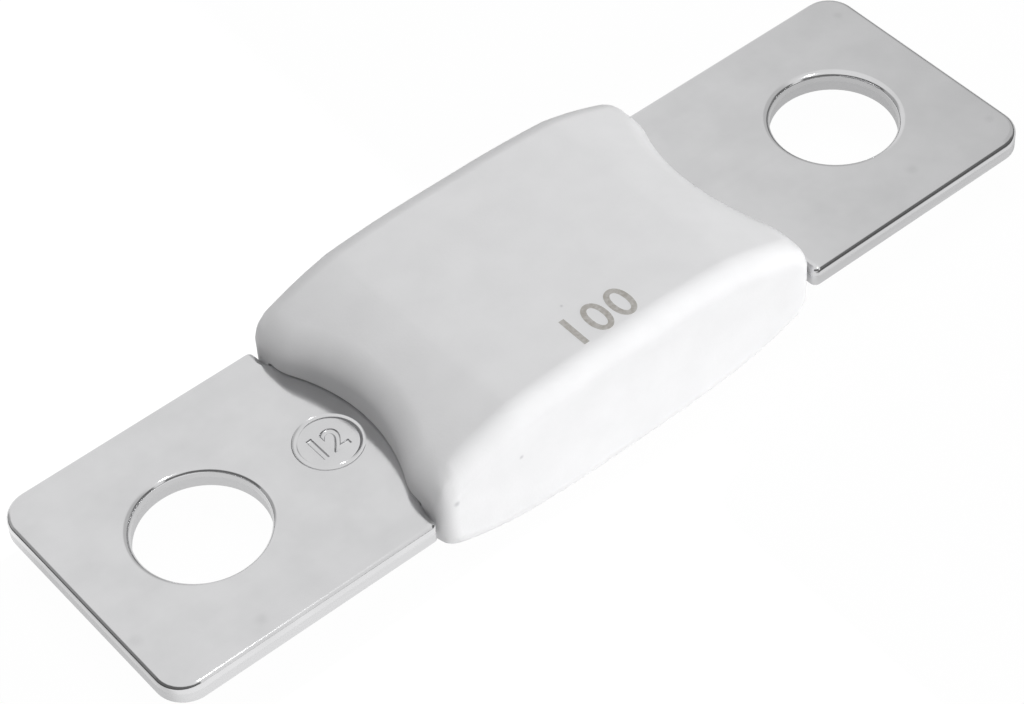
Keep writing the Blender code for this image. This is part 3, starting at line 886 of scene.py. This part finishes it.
class FUSE_OT_stage(bpy.types.Operator):
    """Set the floor, the lamps, the surroundings and the camera."""

    bl_idname = "fuse.stage"
    bl_label = "Stage"

    CAMERA_PLACE = Vector((-79.833, -104.041, 144.892)) * MM
    CAMERA_TURN = (42.39927, 2.70972, -39.78148)
    SENSOR_WIDTH = 36

    # Directions from the part to the lamps, and how far away they stand
    FRONT = (0.48, -0.86, 0.17)
    BACK = (-0.72, 0.66, 0.22)
    TOP = (-0.04, 0.0, 1.0)
    SPARK = (0.13, -0.55, 0.82)
    LAMP_DISTANCE = 0.6

    # Brightness of the tent as gloss sees it, and the share of it that lights dull surfaces
    TENT = 0.955
    TENT_SHARE = 0.05

    # Towards the right the tent fades: from and to which X, and to what share
    TENT_FADES = ((0.3, 0.62, 0.9), (0.47, 0.60, 0.75))

    # Brightness of the unlit panels, and from and to which Y it rises how many times
    UNLIT = 0.17
    UNLIT_RISE = (0.53, 0.62, 2.8)

    # Regions of direction where the tent is unlit, each coordinate from its outside to its inside
    UNLIT_REGIONS = (
        (("X", -0.05, -0.35), ("Z", 0.64, 0.48)),
        (("X", 0.38, 0.46), ("Y", -0.1, -0.5), ("Z", 0.6, 0.4)),
        (("X", 0.2, 0.1), ("Y", -0.3, -0.7), ("Z", 0.6, 0.4)),
        (("X", 0.6, 0.75), ("Z", 0.35, 0.2)),
    )

    # The floor as gloss sees it glows with painted light and shade: it is painted dark left of the
    # first place, and where it is both right of the second and in front of the third
    DARK_LEFT = -46.0 * MM
    DARK_RIGHT = 8.0 * MM
    DARK_FRONT = -16.5 * MM
    DARK_EDGE = 2 * MM
    DARK_BLUR = 8 * MM
    DARK = 0.10

    # Brightness of the painted light on the rest, between which X and from what to what, and then
    # its share under the part, a painted shadow, with how far from the middle line that begins and
    # ends
    FLOOR_SPAN = (-10 * MM, 15 * MM)
    FLOOR_LIGHT = (1.12, 0.92)
    PAINTED_SHADOW_UNDER_PART = 0.74
    UNDER_SPAN = (8 * MM, 11 * MM)
    FLOOR_DROP = 0.05 * MM
    GLOW_SHARE = 0.98

    def execute(self, context):
        self.set_floor(context)
        self.set_world(context)
        self.set_lamps(context)
        self.set_camera(context)
        context.scene.view_settings.view_transform = "Standard"
        return {"FINISHED"}

    def set_floor(self, context):
        """A pale floor, white to the camera.

        Gloss sees it glow with painted light: less bright under the part, a painted shadow, and
        painted dark to the left and in front of the right blade.
        """
        size = context.scene.fuse_stage.floor_size
        bpy.ops.mesh.primitive_plane_add(size=size, location=(0, 0, -self.FLOOR_DROP))
        floor = named("floor")
        material, tree, shader = new_material("Pale floor")
        tree.nodes.remove(shader)
        path = add_node(tree, "LightPath").outputs
        place = add_node(tree, "TexCoord").outputs["Object"]
        x, y, _ = add_node(tree, "SeparateXYZ", place).outputs
        edge, blur = self.DARK_EDGE, self.DARK_BLUR
        # Painted dark areas of the glow that gloss sees
        lit = add_node(tree, "MapRange", x, self.DARK_LEFT - edge, self.DARK_LEFT + edge)
        right = add_node(tree, "MapRange", x, self.DARK_RIGHT - blur, self.DARK_RIGHT + blur)
        front = add_node(tree, "MapRange", y, self.DARK_FRONT + edge, self.DARK_FRONT - edge)
        unlit = add_node(tree, "Math", right, front, operation="MULTIPLY")
        lit = add_node(tree, "Math", lit, unlit, operation="SUBTRACT")
        # Painted light, falling off towards the right
        full = add_node(tree, "MapRange", x, *self.FLOOR_SPAN, *self.FLOOR_LIGHT)
        lit = add_node(tree, "MapRange", lit, 0, 1, self.DARK, full)
        aside = add_node(tree, "Math", y, operation="ABSOLUTE")
        # Painted shadow of the part on the glow that gloss sees
        shade = add_node(tree, "MapRange", aside, *self.UNDER_SPAN, self.PAINTED_SHADOW_UNDER_PART, 1)
        lit = add_node(tree, "Math", lit, shade, operation="MULTIPLY")

        camera, gloss = path["Is Camera Ray"], path["Is Glossy Ray"]
        strength = add_node(tree, "Math", camera, lit, operation="MAXIMUM")
        seen = add_node(tree, "Math", camera, gloss, operation="MAXIMUM")
        share = add_node(tree, "Math", seen, self.GLOW_SHARE, operation="MULTIPLY")
        paint = add_node(tree, "BsdfDiffuse", (*linear("efefef"), 1))
        glow = add_node(tree, "Emission", (1, 1, 1, 1), strength)
        surface = add_node(tree, "MixShader", share, paint, glow)
        set_inputs(tree, tree.nodes["Material Output"], {"Surface": surface})
        floor.data.materials.append(material)

    def set_world(self, context):
        """A light tent, white to the camera and bright to gloss, with unlit panels.

        The foot of its left side is unlit, least so towards the back, and so are the foot of
        its right side and its front corners.
        """
        world = bpy.data.worlds.new("Studio")
        context.scene.world = world
        world.use_nodes = True
        tree = world.node_tree
        tree.nodes.clear()
        towards = add_node(tree, "TexCoord").outputs["Generated"]
        parts = add_node(tree, "SeparateXYZ", towards).outputs
        unlit = 0
        for region in self.UNLIT_REGIONS:
            inside = 1
            for axis, outer, inner in region:
                share = add_node(
                    tree, "MapRange", parts[axis], outer, inner, interpolation_type="SMOOTHSTEP"
                )
                inside = add_node(tree, "Math", inside, share, operation="MULTIPLY")
            unlit = add_node(tree, "Math", unlit, inside, operation="MAXIMUM")

        tent = self.TENT
        for start, end, share in self.TENT_FADES:
            fade = add_node(tree, "MapRange", parts["X"], start, end, 1, share)
            tent = add_node(tree, "Math", tent, fade, operation="MULTIPLY")
        start, end, times = self.UNLIT_RISE
        panel = add_node(
            tree, "MapRange", parts["Y"], start, end, self.UNLIT, times * self.UNLIT
        )
        strength = add_node(tree, "Mix", unlit, tent, panel, data_type="FLOAT")
        path = add_node(tree, "LightPath").outputs
        share = add_node(tree, "MapRange", path["Is Glossy Ray"], 0, 1, self.TENT_SHARE, 1)
        strength = add_node(tree, "Math", strength, share, operation="MULTIPLY")
        strength = add_node(tree, "Math", strength, path["Is Camera Ray"], operation="MAXIMUM")
        light = add_node(tree, "Background", (1, 1, 1, 1), strength)
        add_node(tree, "OutputWorld", light)

    def set_lamps(self, context):
        """Softboxes that gloss doesn't see, and a small lamp that it mirrors as glints."""
        settings = context.scene.fuse_stage
        self.add_softbox("front_softbox", self.FRONT, (0.50, 0.35), settings.front_power)
        self.add_softbox("top_softbox", self.TOP, (0.30, 0.30), settings.top_power)
        self.add_softbox("back_softbox", self.BACK, (0.30, 0.30), settings.back_power)
        spark = self.add_softbox("spark_lamp", self.SPARK, (0.07, 0.07), settings.spark_power)
        spark.visible_glossy = True

    def add_softbox(self, name, direction, size, power):
        """A rectangular lamp in a direction from the part, turned towards it."""
        direction = Vector(direction).normalized()
        bpy.ops.object.light_add(type="AREA", location=direction * self.LAMP_DISTANCE)
        lamp = bpy.context.object
        lamp.name = name
        lamp.rotation_euler = direction.to_track_quat("Z", "Y").to_euler()
        lamp.data.shape = "RECTANGLE"
        lamp.data.size, lamp.data.size_y = size
        lamp.data.energy = power
        lamp.visible_camera = False
        lamp.visible_glossy = False
        return lamp

    def set_camera(self, context):
        """The camera that was solved from the photograph."""
        bpy.ops.object.camera_add(
            location=self.CAMERA_PLACE, rotation=[math.radians(turn) for turn in self.CAMERA_TURN]
        )
        camera = bpy.context.object
        camera.name = "photo_camera"
        camera.data.lens = context.scene.fuse_stage.lens
        camera.data.sensor_width = self.SENSOR_WIDTH
        camera.data.clip_start = 5 * MM
        context.scene.camera = camera


class FUSE_PT_sidebar(bpy.types.Panel):
    """The fuse's pieces and stage, in the order in which they are made."""

    bl_idname = "FUSE_PT_sidebar"
    bl_label = "Bolt-down strip fuse"
    bl_space_type = "VIEW_3D"
    bl_region_type = "UI"
    bl_category = "Fuse"

    def draw(self, context):
        for operator in OPERATORS:
            self.layout.operator(operator.bl_idname)
        for name, settings in SETTINGS.items():
            box = self.layout.box()
            box.label(text=settings.__doc__)
            for field in settings.__annotations__:
                box.prop(getattr(context.scene, name), field)


SETTINGS = {
    "fuse_strip": StripSettings,
    "fuse_coin": CoinSettings,
    "fuse_housing": HousingSettings,
    "fuse_print": PrintSettings,
    "fuse_finish": FinishSettings,
    "fuse_stage": StageSettings,
}
OPERATORS = (FUSE_OT_strip, FUSE_OT_shells, FUSE_OT_tin_bead, FUSE_OT_printed_number, FUSE_OT_stage)


def register():
    for made in (*SETTINGS.values(), *OPERATORS, FUSE_PT_sidebar):
        bpy.utils.register_class(made)
    for name, settings in SETTINGS.items():
        setattr(bpy.types.Scene, name, PointerProperty(type=settings))


def unregister():
    for name in SETTINGS:
        delattr(bpy.types.Scene, name)
    for made in (FUSE_PT_sidebar, *reversed(OPERATORS), *SETTINGS.values()):
        bpy.utils.unregister_class(made)


def main():
    register()
    bpy.ops.fuse.strip()
    bpy.ops.fuse.shells()
    bpy.ops.fuse.tin_bead()
    bpy.ops.fuse.printed_number()
    bpy.ops.fuse.stage()


if __name__ == "__main__":
    main()
